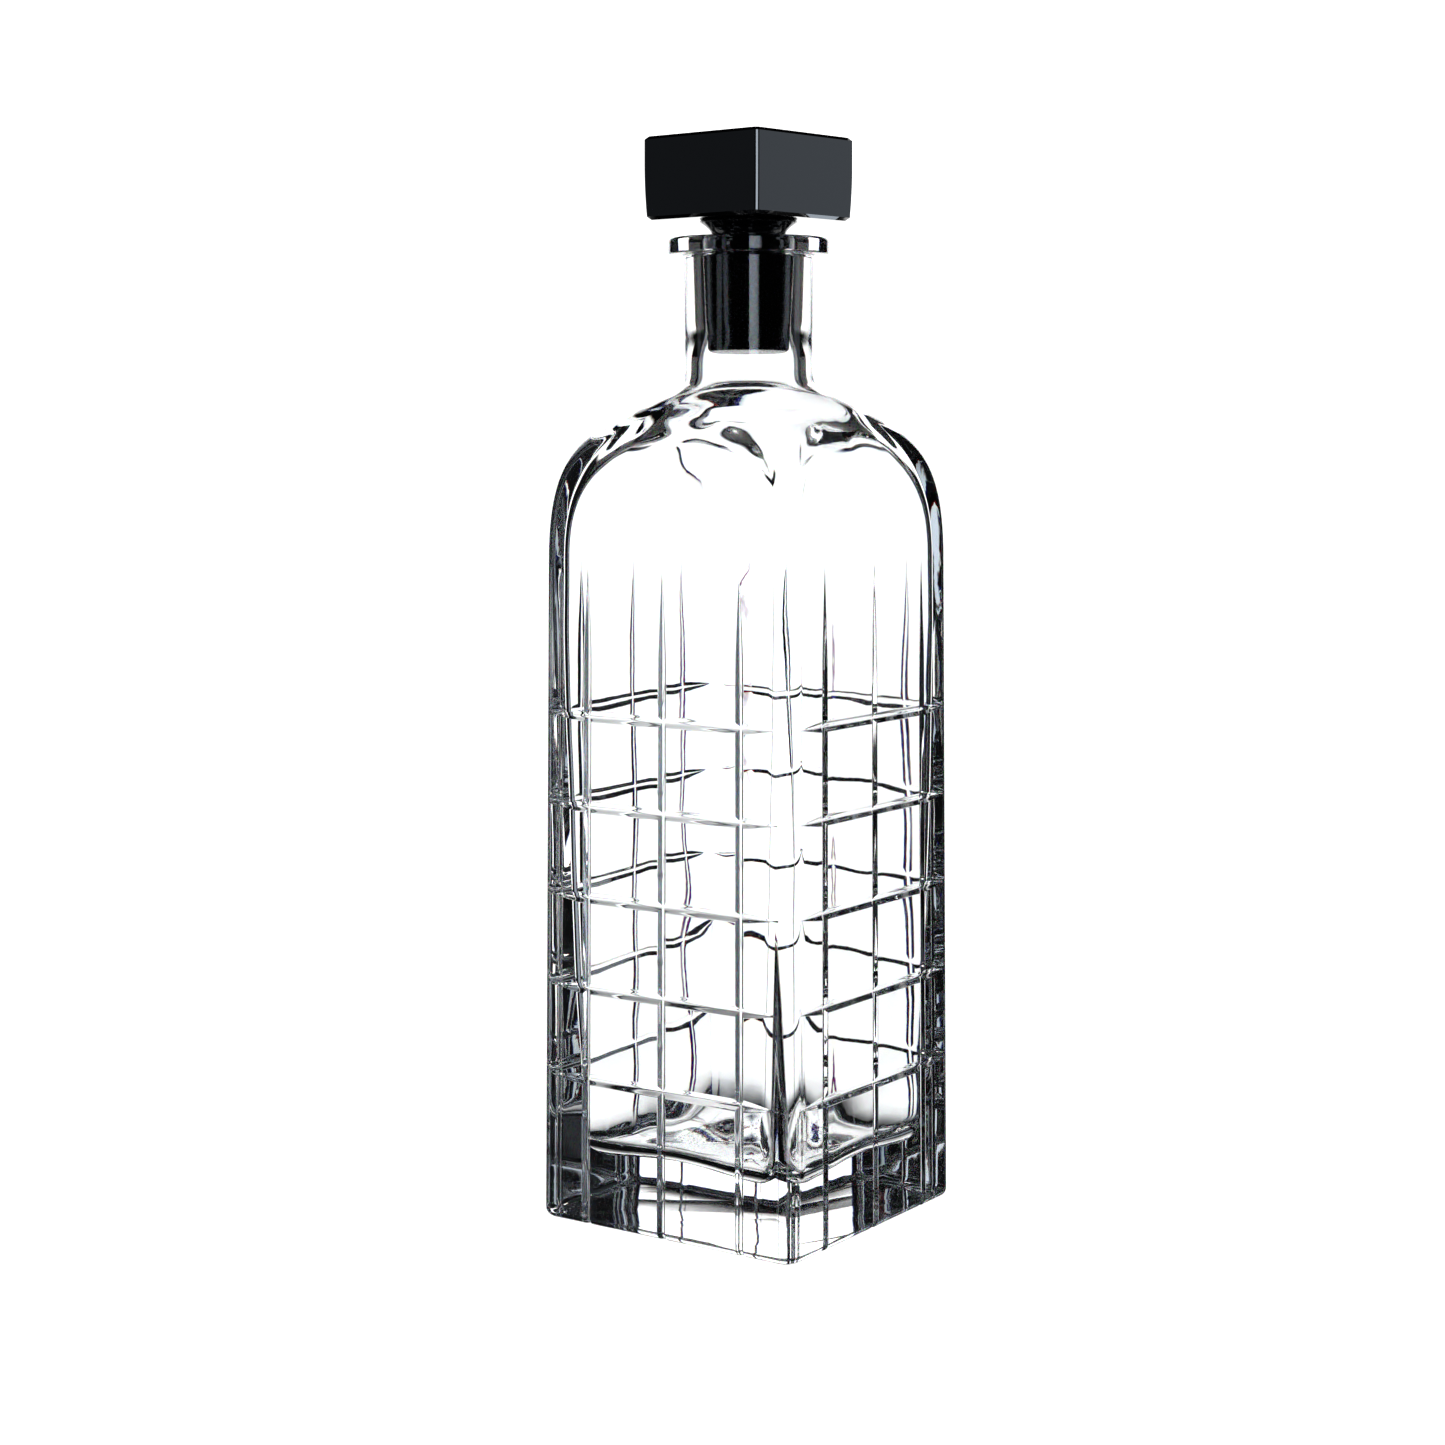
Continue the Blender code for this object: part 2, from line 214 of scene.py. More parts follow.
def arc(centre, radius, start, end, steps):
    """Points (radius, height) along an arc between two angles in degrees."""
    angles = np.radians(np.linspace(start, end, steps + 1))
    return [(centre[0] + radius * math.cos(a), centre[1] + radius * math.sin(a)) for a in angles]


def corner_reach(half_width, radius):
    return ROOT2 * half_width - (ROOT2 - 1) * radius


def corner_radius(half_width, reach):
    return min((ROOT2 * half_width - reach) / (ROOT2 - 1), half_width)


def shoulder(steps):
    """The shoulder's two profiles, over the middle of a face and over a corner.
    Both end in a stretch whose last three controls lie on the neck, so that it bends into it gradually."""
    corner_start = corner_reach(HALF_WIDTH_TOP, CORNER_RADIUS)
    face_bend = (30.0 * MM, 224.5 * MM)
    corner_bend = (31.0 * MM, 224.5 * MM)
    face = bezier(
        (HALF_WIDTH_TOP, SHOULDER_START),
        (HALF_WIDTH_TOP, 204 * MM),
        (37.0 * MM, 218.5 * MM),
        face_bend,
        steps=steps,
    )
    corner = bezier(
        (corner_start, SHOULDER_START),
        (corner_start, 211 * MM),
        (48.5 * MM, 216.5 * MM),
        corner_bend,
        steps=FINE_STEPS,
    )
    neck = [(NECK_RADIUS, height) for height in (FOOT_OF_NECK, FOOT_OF_NECK + 2.5 * MM, NECK_START)]
    pull = (25.3 * MM, 228.3 * MM)
    face += bezier(face_bend, pull, *neck, steps=steps // 2)[1:]
    corner += bezier(corner_bend, pull, *neck, steps=FINE_STEPS)[1:]
    return face, corner


def inner_shoulder(face_start, corner_start, steps):
    """The same two profiles on the inside, where the glass is thicker over the corners."""
    bend_radius, bend_height = THROAT_BEND
    face = bezier(
        (face_start, SHOULDER_START),
        (face_start, SHOULDER_START + 20 * MM),
        (bend_radius + 6.4 * MM, bend_height - 5.3 * MM),
        (bend_radius, bend_height),
        steps=steps,
    )
    corner_bend = (bend_radius + 1.0 * MM, bend_height)
    corner = bezier(
        (corner_start, SHOULDER_START),
        (corner_start, SHOULDER_START + CORNER_RISE),
        (bend_radius + CORNER_PULL, bend_height - CORNER_FALL),
        corner_bend,
        steps=FINE_STEPS,
    )
    throat = [(THROAT_RADIUS, height) for height in (THROAT_FOOT, THROAT_FOOT + 3.0 * MM, THROAT_END)]
    pull = (bend_radius - THROAT_PULL, bend_height + THROAT_PULL * 0.83)
    face += bezier((bend_radius, bend_height), pull, *throat, steps=steps // 2)[1:]
    corner += bezier(corner_bend, pull, *throat, steps=FINE_STEPS)[1:]
    return face, corner


def fan_share(half_width, radius):
    return min(1.0, max(0.0, (radius / half_width - 0.2) / 0.8))


def smoothstep(t):
    t = np.clip(t, 0, 1)
    return t * t * (3 - 2 * t)


def four_times(quarter):
    """A whole row of points from those of its first quarter."""
    row = []
    for c, s in ((1, 0), (0, 1), (-1, 0), (0, -1)):
        row += [(x * c - y * s, x * s + y * c, z) for x, y, z in quarter]
    return row


class Skin:
    """Rows of points round the bottle that are joined into a surface, row by row."""

    def __init__(self):
        self.points = []
        self.faces = []
        self.rows = []

    def add_row(self, points):
        start = len(self.points)
        self.points.extend(points)
        self.rows.append(list(range(start, start + len(points))))

    def join(self, split=None):
        """Joins neighbouring rows. split(row, column) is the diagonal that a quad is cut along, or None."""
        for r in range(len(self.rows) - 1):
            low, high = self.rows[r], self.rows[r + 1]
            count = len(low)
            for i in range(count):
                j = (i + 1) % count
                quad = (low[i], low[j], high[j], high[i])
                way = split(r, i) if split else None
                if way == "/":
                    self.faces += [(quad[0], quad[1], quad[2]), (quad[0], quad[2], quad[3])]
                elif way == "\\":
                    self.faces += [(quad[0], quad[1], quad[3]), (quad[1], quad[2], quad[3])]
                else:
                    self.faces.append(quad)


def line_layout(centres, half_width, low, high, gap):
    """All lines from low to high: those of the cuts at these centres, and plain ones at most gap apart.
    Each is (position, offset share, depth share), and a plain one has no offset and no depth."""
    lines = []
    at = low
    reach = CUT_PROFILE[-1][0] * half_width

    def plain(start, end, closed_start, closed_end):
        count = max(1, math.ceil((end - start) / gap))
        for k in range(0 if closed_start else 1, count + (1 if closed_end else 0)):
            lines.append((start + (end - start) * k / count, *PLAIN))

    for n, centre in enumerate(centres):
        plain(at, centre - reach, n == 0, False)
        for share, depth in CUT_PROFILE[::-1]:
            lines.append((centre, -share, depth))
        for share, depth in CUT_PROFILE[1:]:
            lines.append((centre, share, depth))
        at = centre + reach
    plain(at, high, len(centres) == 0, True)
    return lines


FACE_FLAT = HALF_WIDTH_FOOT - CORNER_RADIUS
FACE_LINES = line_layout([-CUT_PITCH, 0, CUT_PITCH], UPRIGHT_HALF_WIDTH, -FACE_FLAT, FACE_FLAT, 2.6 * MM)
LEVEL_CENTRES = [LEVEL_CUT_FIRST + k * LEVEL_CUT_PITCH for k in range(LEVEL_CUTS)]
BODY_LINES = line_layout(LEVEL_CENTRES, LEVEL_HALF_WIDTH, FOOT_ROUND, SHOULDER_START, 4.5 * MM)


def level_size(across):
    """Size of a level cut at this distance from the face's middle, as a share of its full size."""
    t = (abs(across) - LEVEL_CUT_FULL) / (LEVEL_CUT_HALF - LEVEL_CUT_FULL)
    return float(1 - (1 - CUT_TIP) * np.clip(t, 0, 1))


def upright_size(height):
    t = (height - UPRIGHT_CUT_FULL) / (UPRIGHT_CUT_END - UPRIGHT_CUT_FULL)
    return float(1 - (1 - CUT_TIP) * np.clip(t, 0, 1) ** 1.2)


def outer_row(half_width, radius, height, body_line=None):
    """One row of the outer skin. On the body, body_line is (centre, offset share, depth share)."""
    flat = half_width - radius
    fan = FACE_FAN * fan_share(half_width, radius)
    quarter = []
    if height < UPRIGHT_CUT_END:
        size_up = spread = upright_size(height)
    else:
        size_up = 0.0
        spread = float(CUT_TIP + (1 - CUT_TIP) * smoothstep((height - UPRIGHT_CUT_END) / CUT_LINES_SPREAD))
    for place, offset, depth_share in FACE_LINES:
        across = place + offset * UPRIGHT_HALF_WIDTH * spread
        z = height
        level_depth = 0.0
        if body_line and body_line[1:] != PLAIN:
            size = level_size(across) if abs(across) <= LEVEL_CUT_HALF else 0.0
            wide = max(size, CUT_TIP)
            z = body_line[0] + body_line[1] * LEVEL_HALF_WIDTH * wide
            level_depth = body_line[2] * size
        depth = CUT_DEPTH * max(depth_share * size_up, level_depth)
        t = across / FACE_FLAT
        x = flat + radius * math.cos(t * fan) - depth
        y = flat * t + radius * math.sin(t * fan)
        quarter.append((x, y, z))
    z = height
    for i in range(1, CORNER_STEPS):
        angle = fan + (math.pi / 2 - 2 * fan) * i / CORNER_STEPS
        if body_line and body_line[1] != 0.0:
            wide = CUT_TIP + (1 - CUT_TIP) * math.sin(math.pi * i / CORNER_STEPS)
            z = body_line[0] + body_line[1] * LEVEL_HALF_WIDTH * wide
        quarter.append((flat + radius * math.cos(angle), flat + radius * math.sin(angle), z))
    return four_times(quarter)


def outer_skin():
    skin = Skin()
    kinds = []
    for reach, height in arc((0, FOOT_ROUND), FOOT_ROUND, -90, 0, 6)[:-1]:
        half_width = HALF_WIDTH_FOOT - FOOT_ROUND + reach
        skin.add_row(outer_row(half_width, CORNER_RADIUS - FOOT_ROUND + reach, height))
        kinds.append(None)
    for line in BODY_LINES:
        height = line[0] + line[1] * LEVEL_HALF_WIDTH
        share = height / SHOULDER_START
        half_width = HALF_WIDTH_FOOT + (HALF_WIDTH_TOP - HALF_WIDTH_FOOT) * share
        skin.add_row(outer_row(half_width, CORNER_RADIUS, height, line))
        kinds.append(line)
    face, corner = shoulder(48)
    for half_width, radius, height in shoulder_rows(face, corner)[1:]:
        skin.add_row(outer_row(half_width, radius, height))
        kinds.append(None)
    lip = [(NECK_RADIUS, z) for z in np.linspace(NECK_START + 3 * MM, LIP_BOTTOM - 1.2 * MM, 9)]
    lip += arc((NECK_RADIUS + 1.0 * MM, LIP_BOTTOM - 1.0 * MM), 1.0 * MM, 180, 90, 5)
    lip += arc((LIP_RADIUS - 0.6 * MM, LIP_BOTTOM + 0.6 * MM), 0.6 * MM, -90, 0, 5)
    lip += arc((LIP_RADIUS - 1.0 * MM, LIP_TOP - 1.0 * MM), 1.0 * MM, 0, 90, 7)
    for radius, height in lip:
        skin.add_row(outer_row(radius, radius, height))
        kinds.append(None)
    columns = face_column_offsets()

    def split(r, i):
        low, high = kinds[r], kinds[r + 1]
        if low is None or high is None or low[0] != high[0] or PLAIN in (low[1:], high[1:]):
            return None
        column = i % len(columns)
        left, right = columns[column], columns[(column + 1) % len(columns)]
        if left is None or right is None or left[0] != right[0]:
            return None
        if {abs(left[1]), abs(right[1])} != {abs(low[1]), abs(high[1])}:
            return None
        return "/" if (left[1] + right[1]) * (low[1] + high[1]) > 0 else "\\"

    skin.join(split)
    return skin


def face_column_offsets():
    """For each column of a quarter: (cut centre, offset share), or None on a plain one."""
    made = [(p, o) if (o, d) != PLAIN else None for p, o, d in FACE_LINES]
    return made + [None] * (CORNER_STEPS - 1)


def shoulder_rows(face, corner):
    heights = [z for _, z in corner]
    reaches = [r for r, _ in corner]
    rows = []
    for half_width, height in face:
        reach = max(float(np.interp(height, heights, reaches)), half_width)
        rows.append((half_width, corner_radius(half_width, reach), height))
    return rows


def inner_row(half_width, radius, height):
    flat = half_width - radius
    fan = FACE_FAN * fan_share(half_width, radius)
    quarter = []
    for i in range(INNER_FACE_STEPS):
        t = 2 * i / INNER_FACE_STEPS - 1
        quarter.append((flat + radius * math.cos(t * fan), flat * t + radius * math.sin(t * fan), height))
    for i in range(INNER_CORNER_STEPS):
        angle = fan + (math.pi / 2 - 2 * fan) * i / INNER_CORNER_STEPS
        quarter.append((flat + radius * math.cos(angle), flat + radius * math.sin(angle), height))
    return four_times(quarter)


def wall(height):
    share = np.clip((WALL_GROWS_FROM - height) / (WALL_GROWS_FROM - WALL_GROWS_TO), 0, 1)
    return WALL_SHOULDER + (WALL_FOOT - WALL_SHOULDER) * float(share) ** 1.3


def outer_half_width(height):
    return HALF_WIDTH_FOOT + (HALF_WIDTH_TOP - HALF_WIDTH_FOOT) * height / SHOULDER_START


def bore_radius(height):
    return PLUG_BOTTOM_RADIUS + JOINT_GAP + (height - JOINT_BOTTOM) * JOINT_TAPER


def wave(point):
    """How far the blown inner wall strays from its even shape at this point, in metres."""
    x, y, z = point
    fade = smoothstep((z - 24 * MM) / (20 * MM)) * smoothstep((226 * MM - z) / (14 * MM))
    broad = noise.noise(Vector((x * 22, y * 22, z * 26 + 3.7)))
    fine = noise.noise(Vector((x * 55 + 9.1, y * 55, z * 48)))
    folds = noise.noise(Vector((x * 60, y * 60 + 2.1, z * 75)))
    shoulder_share = smoothstep((z - 200 * MM) / (10 * MM)) * smoothstep((228 * MM - z) / (6 * MM))
    shoulder_share *= smoothstep((44 * MM - math.hypot(x, y)) / (10 * MM))
    lobes = noise.noise(Vector((x * 34 + 4.3, y * 34, 0.5)))
    ring = math.exp(-(((z - RING_HEIGHT) / RING_WIDTH - 0.9 * lobes) ** 2)) * (0.75 + 0.9 * lobes)
    even = float(fade) * (0.55 * broad + 0.22 * fine)
    return (even + float(shoulder_share) * SHOULDER_FOLDS * folds - RING_DEPTH * ring) * MM


def dome(x, y, half_width):
    """How far the floor rises at this place above its height beside the walls."""
    away = min(1.0, math.hypot(x, y) / (1.15 * half_width))
    return (FLOOR_MIDDLE - FLOOR_AT_FACE) * (1 - away**2) ** 2


def inner_skin():
    skin = Skin()
    mouth = arc((bore_radius(LIP_TOP) + 1.0 * MM, LIP_TOP - 1.0 * MM), 1.0 * MM, 90, 180, 5)
    mouth += [(bore_radius(z), z) for z in np.linspace(LIP_TOP - 1.8 * MM, SEAT_BOTTOM, 10)]
    # Below the ground seat the blown bore widens gradually into the throat
    mouth += bezier(
        (bore_radius(SEAT_BOTTOM), SEAT_BOTTOM),
        (bore_radius(SEAT_BOTTOM - 4 * MM), SEAT_BOTTOM - 4 * MM),
        (THROAT_RADIUS, THROAT_END + 7 * MM),
        (THROAT_RADIUS, THROAT_END + 1 * MM),
        steps=14,
    )[1:]
    for radius, height in mouth:
        skin.add_row(inner_row(radius, radius, height))
    half_width = HALF_WIDTH_TOP - WALL_SHOULDER
    reach = corner_reach(half_width, INNER_CORNER_RADIUS)
    face, corner = inner_shoulder(half_width, reach, 36)
    for half, radius, height in shoulder_rows(face, corner)[::-1]:
        skin.add_row(inner_row(half, radius, height))
    floor_edge = FLOOR_AT_FACE + FLOOR_ROUND
    foot_half = outer_half_width(floor_edge) - wall(floor_edge)
    for height in np.linspace(SHOULDER_START - 3 * MM, floor_edge + 4 * MM, 52):
        skin.add_row(inner_row(outer_half_width(height) - wall(height), INNER_CORNER_RADIUS, height))
    floor = []
    for reach, height in arc((0, floor_edge), FLOOR_ROUND, 0, -90, 8):
        half = foot_half - FLOOR_ROUND + reach
        floor.append(inner_row(half, max(INNER_CORNER_RADIUS - (FLOOR_ROUND - reach), 2 * MM), height))
    for share in (0.93, 0.86, 0.78, 0.7, 0.62, 0.54, 0.46, 0.38, 0.3, 0.22, 0.14, 0.06):
        half = (foot_half - FLOOR_ROUND) * share
        floor.append(inner_row(half, (0.12 + 0.8 * (1 - share)) * half, FLOOR_AT_FACE))
    for row in floor:
        skin.add_row([(x, y, z + dome(x, y, foot_half)) for x, y, z in row])
    moved = []
    for x, y, z in skin.points:
        reach = math.hypot(x, y) or 1.0
        push = wave((x, y, z))
        moved.append((x + x / reach * push, y + y / reach * push, z))
    skin.points = moved
    skin.join()
    return skin


def build_bottle():
    outer, inner = outer_skin(), inner_skin()
    shift = len(outer.points)
    points = outer.points + inner.points
    faces = outer.faces + [tuple(i + shift for i in f) for f in inner.faces]
    top = outer.rows[-1]
    mouth = [i + shift for i in inner.rows[0]]
    faces.append(tuple(outer.rows[0][::-1]))
    faces.append(tuple(i + shift for i in inner.rows[-1]))
    mesh = bpy.data.meshes.new("crystal_bottle")
    bm = bmesh.new()
    verts = [bm.verts.new(p) for p in points]
    for f in faces:
        bm.faces.new([verts[i] for i in f])
    top_edges = [bm.edges.get((verts[a], verts[b])) for a, b in zip(top, top[1:] + top[:1])]
    mouth_edges = [bm.edges.get((verts[a], verts[b])) for a, b in zip(mouth, mouth[1:] + mouth[:1])]
    bmesh.ops.bridge_loops(bm, edges=top_edges + mouth_edges)
    bmesh.ops.recalc_face_normals(bm, faces=bm.faces)
    bm.to_mesh(mesh)
    bm.free()
    mesh.shade_smooth()
    mesh.set_sharp_from_angle(angle=BOTTLE_SHARP)
    piece = bpy.data.objects.new("crystal_bottle", mesh)
    bpy.context.scene.collection.objects.link(piece)
    return piece


def head_ring(half_width, height):
    """A square ring with chamfered corners. Each face is split so that its bow shades evenly."""
    chamfer = HEAD_BEVEL
    quarter = []
    for i in range(9):
        quarter.append((half_width, (half_width - chamfer) * (i / 4 - 1)))
    quarter.append((half_width - chamfer * 0.42, half_width - chamfer * 0.42))
    return four_times([(x, y, height) for x, y in quarter])


def stem_profile():
    """Radius and height down the outside of the stem and the plug, from inside the head to the axis."""
    plug_top = PLUG_BOTTOM_RADIUS + (JOINT_TOP - JOINT_BOTTOM) * JOINT_TAPER
    points = [(FLARE_RADIUS * 0.7, HEAD_BOTTOM + 4 * MM), (FLARE_RADIUS - 0.9 * MM, HEAD_BOTTOM + 0.4 * MM)]
    points += [(FLARE_RADIUS - 0.15 * MM, HEAD_BOTTOM - 0.2 * MM), (FLARE_RADIUS, HEAD_BOTTOM - 0.45 * MM)]
    points += bezier(
        (FLARE_RADIUS - 0.2 * MM, HEAD_BOTTOM - 0.75 * MM),
        (WAIST_RADIUS + 1.3 * MM, HEAD_BOTTOM - 1.9 * MM),
        (WAIST_RADIUS, WAIST_HEIGHT + 1.5 * MM),
        (WAIST_RADIUS, WAIST_HEIGHT),
        steps=14,
    )
    points += bezier(
        (WAIST_RADIUS, WAIST_HEIGHT - 0.1 * MM),
        (WAIST_RADIUS, WAIST_HEIGHT - 1.1 * MM),
        (BEAD_RADIUS, WAIST_HEIGHT - 1.3 * MM),
        (BEAD_RADIUS, WAIST_HEIGHT - 2.3 * MM),
        steps=8,
    )
    points += bezier(
        (BEAD_RADIUS, WAIST_HEIGHT - 2.5 * MM),
        (BEAD_RADIUS - 0.1 * MM, JOINT_TOP + 1.6 * MM),
        (plug_top, JOINT_TOP + 1.7 * MM),
        (plug_top, JOINT_TOP),
        steps=10,
    )
    for share in np.linspace(0.04, 0.96, 12):
        height = JOINT_TOP + (JOINT_BOTTOM + PLUG_ROUND - JOINT_TOP) * share
        points.append((PLUG_BOTTOM_RADIUS + (height - JOINT_BOTTOM) * JOINT_TAPER, height))
    points += arc((PLUG_BOTTOM_RADIUS - PLUG_ROUND, JOINT_BOTTOM + PLUG_ROUND), PLUG_ROUND, -2.3, -90, 8)
    return points


def solid_object(name, skin):
    """A mesh object of a skin's rows, with its first and last row closed."""
    skin.join()
    mesh = bpy.data.meshes.new(name)
    bm = bmesh.new()
    verts = [bm.verts.new(p) for p in skin.points]
    for f in skin.faces + [tuple(skin.rows[0][::-1]), tuple(skin.rows[-1])]:
        bm.faces.new([verts[i] for i in f])
    bmesh.ops.recalc_face_normals(bm, faces=bm.faces)
    bm.to_mesh(mesh)
    bm.free()
    made = bpy.data.objects.new(name, mesh)
    bpy.context.scene.collection.objects.link(made)
    return made


def build_stopper():
    """The head with its stem joined on, in the head's own slightly turned place."""
    head = Skin()
    middle = (HEAD_BOTTOM + HEAD_TOP) / 2
    rows = [(-HEAD_BEVEL, HEAD_BOTTOM)]
    rows += [(0.0, z) for z in np.linspace(HEAD_BOTTOM + HEAD_BEVEL, HEAD_TOP - HEAD_BEVEL, 16)]
    rows += [(-HEAD_BEVEL, HEAD_TOP)]
    for inset, height in rows:
        drawn = max(0.0, (middle + 4 * MM - height) / (middle - HEAD_BOTTOM)) ** 2
        head.add_row(head_ring(HEAD_HALF - HEAD_BOW * drawn + inset, height))
    piece = solid_object("black_stopper", head)
    stem = Skin()
    angles = [math.tau * k / STEM_STEPS for k in range(STEM_STEPS)]
    for radius, height in stem_profile():
        stem.add_row([(radius * math.cos(a), radius * math.sin(a), height) for a in angles])
    tool = solid_object("stem", stem)
    union = piece.modifiers.new("stem", "BOOLEAN")
    union.operation = "UNION"
    union.solver = "EXACT"
    union.object = tool
    graph = bpy.context.evaluated_depsgraph_get()
    mesh = bpy.data.meshes.new_from_object(piece.evaluated_get(graph))
    piece.modifiers.clear()
    piece.data = mesh
    bpy.data.objects.remove(tool)
    mesh.transform(Matrix.Rotation(STOPPER_TURN, 4, "Z"))
    mesh.shade_smooth()
    mesh.set_sharp_from_angle(angle=STOPPER_SHARP)
    return piece


class Graph:
    """Short ways to add shader nodes to one node tree."""

    def __init__(self, tree):
        self.nodes, self.links = tree.nodes, tree.links
        self.nodes.clear()

    def node(self, kind, **settings):
        made = self.nodes.new(kind)
        for name, value in settings.items():
            setattr(made, name, value)
        return made

    def put(self, socket, value):
        """Gives a socket a number, or the output of another node."""
        if hasattr(value, "is_output"):
            self.links.new(value, socket)
        else:
            socket.default_value = value

    def math(self, operation, *values):
        made = self.node("ShaderNodeMath", operation=operation)
        for socket, value in zip(made.inputs, values):
            self.put(socket, value)
        return made.outputs[0]

    def noise(self, vector, scale, detail):
        made = self.node("ShaderNodeTexNoise")
        self.put(made.inputs["Vector"], vector)
        made.inputs["Scale"].default_value = scale
        made.inputs["Detail"].default_value = detail
        return made.outputs[0]

    def mix_color(self, share, low, high):
        made = self.node("ShaderNodeMix", data_type="RGBA")
        self.put(made.inputs["Factor"], share)
        for socket, color in zip((made.inputs[6], made.inputs[7]), (low, high)):
            self.put(socket, (*color, 1) if isinstance(color, tuple) else color)
        return made.outputs[2]

    def mix_value(self, share, low, high):
        made = self.node("ShaderNodeMix", data_type="FLOAT")
        self.put(made.inputs["Factor"], share)
        self.put(made.inputs[2], low)
        self.put(made.inputs[3], high)
        return made.outputs[0]

    def ramp(self, value, start, end, low=0.0, high=1.0):
        """low where value is at start, high where it is at end, and smooth between them."""
        made = self.node("ShaderNodeMapRange", interpolation_type="SMOOTHSTEP")
        for socket, number in zip(made.inputs, (value, start, end, low, high)):
            self.put(socket, number)
        return made.outputs[0]


def glass_material():
    """Clear crystal: full-lead glass with faint striae, a ground seat in the neck and a worn foot."""
    made = bpy.data.materials.new("clear_crystal")
    made.use_nodes = True
    g = Graph(made.node_tree)
    out = g.node("ShaderNodeOutputMaterial")
    place = g.node("ShaderNodeTexCoord").outputs["Object"]
    split = g.node("ShaderNodeSeparateXYZ")
    g.put(split.inputs[0], place)
    x, y, z = split.outputs
    reach = g.math("SQRT", g.math("ADD", g.math("MULTIPLY", x, x), g.math("MULTIPLY", y, y)))
    # Faint striae, drawn out along the axis
    stretch = g.node("ShaderNodeMapping")
    stretch.inputs["Scale"].default_value = (60, 60, 9)
    g.put(stretch.inputs["Vector"], place)
    striae = g.noise(stretch.outputs[0], 1.0, 3.0)
    tint = g.mix_color(striae, (0.955, 0.975, 0.985), (1.0, 1.0, 1.0))
    # The ground seat is slightly matt and so is the ring that the foot wears on
    in_bore = g.ramp(reach, *BORE_ENDS)
    seat = g.math("MULTIPLY", g.ramp(z, SEAT_BOTTOM - 1 * MM, SEAT_BOTTOM), g.ramp(z, *SEAT_ENDS))
    seat = g.math("MULTIPLY", seat, in_bore)
    grain = g.noise(place, 1800.0, 2.0)
    worn = g.math("MULTIPLY", g.ramp(z, *WEAR_ENDS), g.ramp(grain, 0.5, 0.72))
    roughness = g.math("MULTIPLY", seat, g.ramp(grain, 0.3, 0.7, 0.02, 0.09))
    roughness = g.math("ADD", roughness, g.math("MULTIPLY", worn, 0.3))
    # Light touches: hand marks that only show where the light just grazes the surface
    bump = g.node("ShaderNodeBump")
    bump.inputs["Strength"].default_value = 0.06
    bump.inputs["Distance"].default_value = 0.0002
    g.put(bump.inputs["Height"], g.noise(place, 160.0, 2.0))
    plain = g.node("ShaderNodeBsdfPrincipled")
    plain.inputs["IOR"].default_value = GLASS_IOR
    plain.inputs["Transmission Weight"].default_value = 1.0
    g.put(plain.inputs["Base Color"], tint)
    g.put(plain.inputs["Roughness"], roughness)
    g.put(plain.inputs["Normal"], bump.outputs[0])
    # What the camera sees first is split into colours, as thick crystal does at its edges
    spread = None
    for count, (color, ior) in enumerate(SPLIT_GLASSES):
        glass = g.node("ShaderNodeBsdfGlass")
        glass.inputs["Color"].default_value = (*color, 1)
        glass.inputs["IOR"].default_value = ior
        g.put(glass.inputs["Roughness"], roughness)
        g.put(glass.inputs["Normal"], bump.outputs[0])
        if spread is None:
            spread = glass.outputs[0]
        else:
            both = g.node("ShaderNodeMixShader")
            both.inputs[0].default_value = 1 / (count + 1)
            g.put(both.inputs[1], spread)
            g.put(both.inputs[2], glass.outputs[0])
            spread = both.outputs[0]
    first = g.node("ShaderNodeLightPath").outputs["Is Camera Ray"]
    mix = g.node("ShaderNodeMixShader")
    g.put(mix.inputs[0], g.math("MULTIPLY", first, COLOR_SPLIT))
    g.put(mix.inputs[1], plain.outputs[0])
    g.put(mix.inputs[2], spread)
    g.put(out.inputs[0], mix.outputs[0])
    return made


def black_material():
    """Black glass: polished head with faint wipe marks, matt ground plug whose grain carries bright bluish
    specks that are painted glints of the lamps.
    """
    made = bpy.data.materials.new("black_glass")
    made.use_nodes = True
    g = Graph(made.node_tree)
    out = g.node("ShaderNodeOutputMaterial")
    shader = g.node("ShaderNodeBsdfPrincipled")
    place = g.node("ShaderNodeTexCoord").outputs["Object"]
    split = g.node("ShaderNodeSeparateXYZ")
    g.put(split.inputs[0], place)
    height = split.outputs[2]
    plug = g.ramp(height, *PLUG_ENDS)
    cloud = g.noise(place, 70.0, 4.0)
    grain = g.noise(place, 2200.0, 2.0)
    # Painted highlight: bright bluish specks on the ground plug's grain, painted into its colour as glints
    # of the lamps
    painted_glint_specks = g.math("MULTIPLY", plug, g.ramp(grain, 0.62, 0.7))
    color = g.mix_color(cloud, (0.0012, 0.0014, 0.0022), (0.0035, 0.0038, 0.0055))
    # The plug's grain takes the painted bluish glint colour here
    color = g.mix_color(painted_glint_specks, color, (0.05, 0.06, 0.09))
    polish = g.ramp(cloud, 0.35, 0.7, 0.02, 0.06)
    ground = g.ramp(grain, 0.35, 0.7, 0.16, 0.3)
    g.put(shader.inputs["Base Color"], color)
    g.put(shader.inputs["Roughness"], g.mix_value(plug, polish, ground))
    shader.inputs["IOR"].default_value = BLACK_IOR
    g.put(shader.inputs["Specular IOR Level"], g.mix_value(plug, 1.0, 0.3))
    bump = g.node("ShaderNodeBump")
    bump.inputs["Distance"].default_value = 0.0001
    g.put(bump.inputs["Strength"], g.mix_value(plug, 0.02, 0.35))
    g.put(bump.inputs["Height"], grain)
    g.put(shader.inputs["Normal"], bump.outputs[0])
    g.put(out.inputs[0], shader.outputs[0])
    return made


